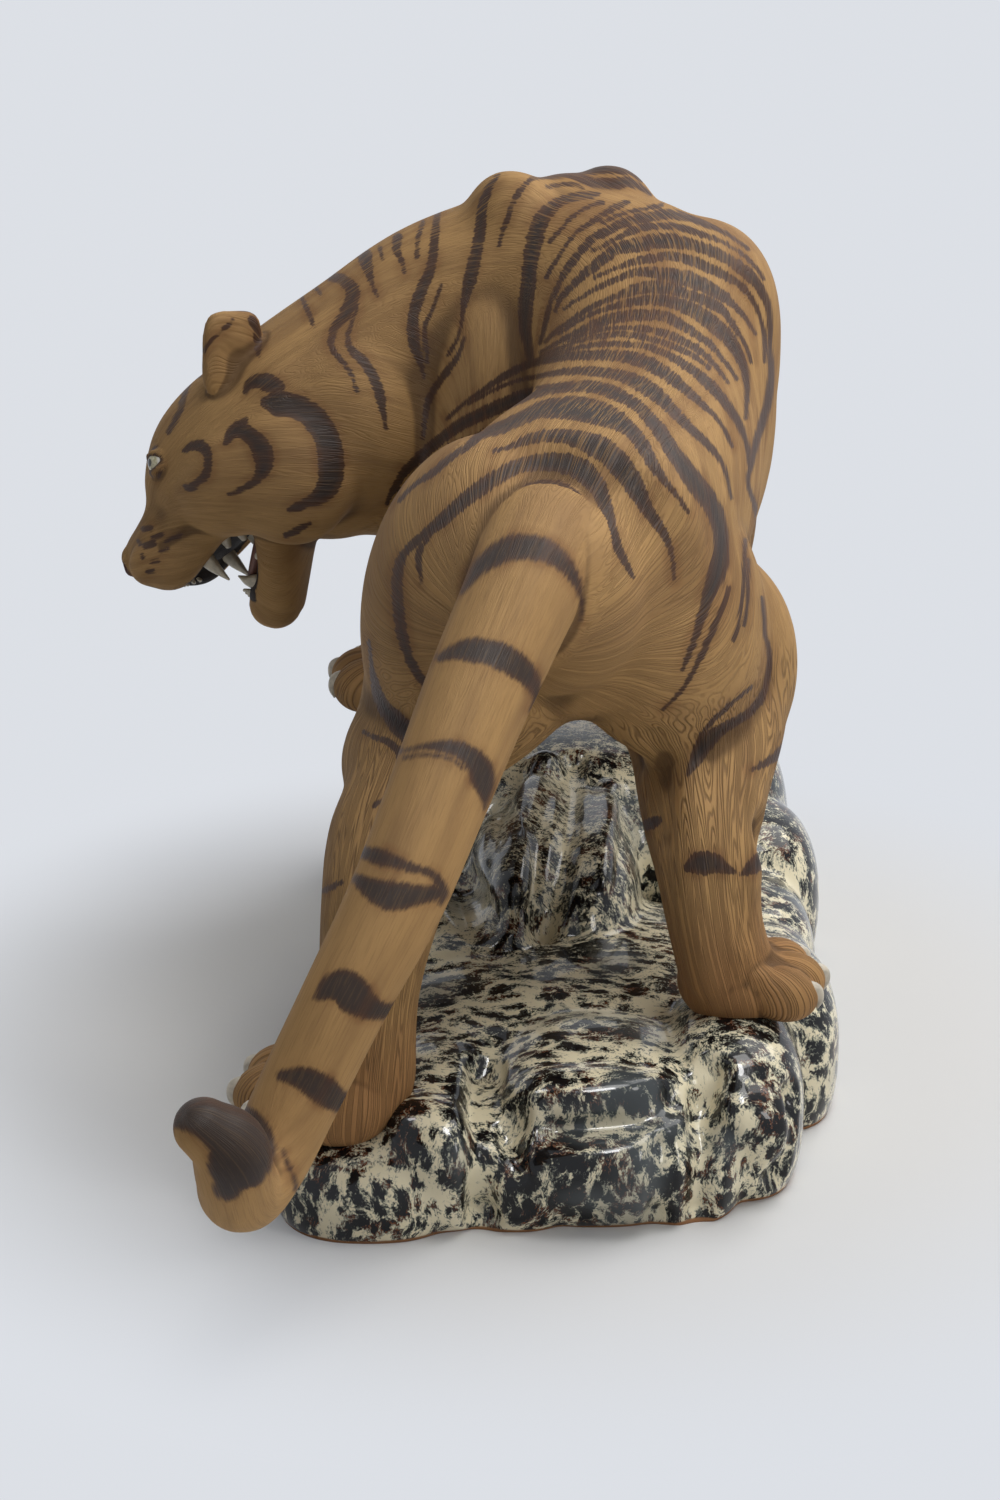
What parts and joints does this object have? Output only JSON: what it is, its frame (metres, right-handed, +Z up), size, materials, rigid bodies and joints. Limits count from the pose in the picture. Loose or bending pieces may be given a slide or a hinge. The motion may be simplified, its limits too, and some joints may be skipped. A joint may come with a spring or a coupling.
{
  "type": "tiger figurine",
  "caption": "Stoneware tiger striding down a glazed rock, head turned to its left with jaws open, tail hanging behind and curling up at its tip.",
  "frame": {"origin": "On the flat underside of the rock, below the middle of the rock's length", "axes": "+Z up, +Y the way the tiger strides, +X to the tiger's right, so the head looks to -X"},
  "size_m": [0.3088, 0.5227, 0.3286],
  "materials": {
    "clay": "bare fired clay with brushed stripes, glossy glaze on the rock"
  },
  "bodies": {
    "root": {"tiger_figurine": "clay"}
  },
  "joints": []
}
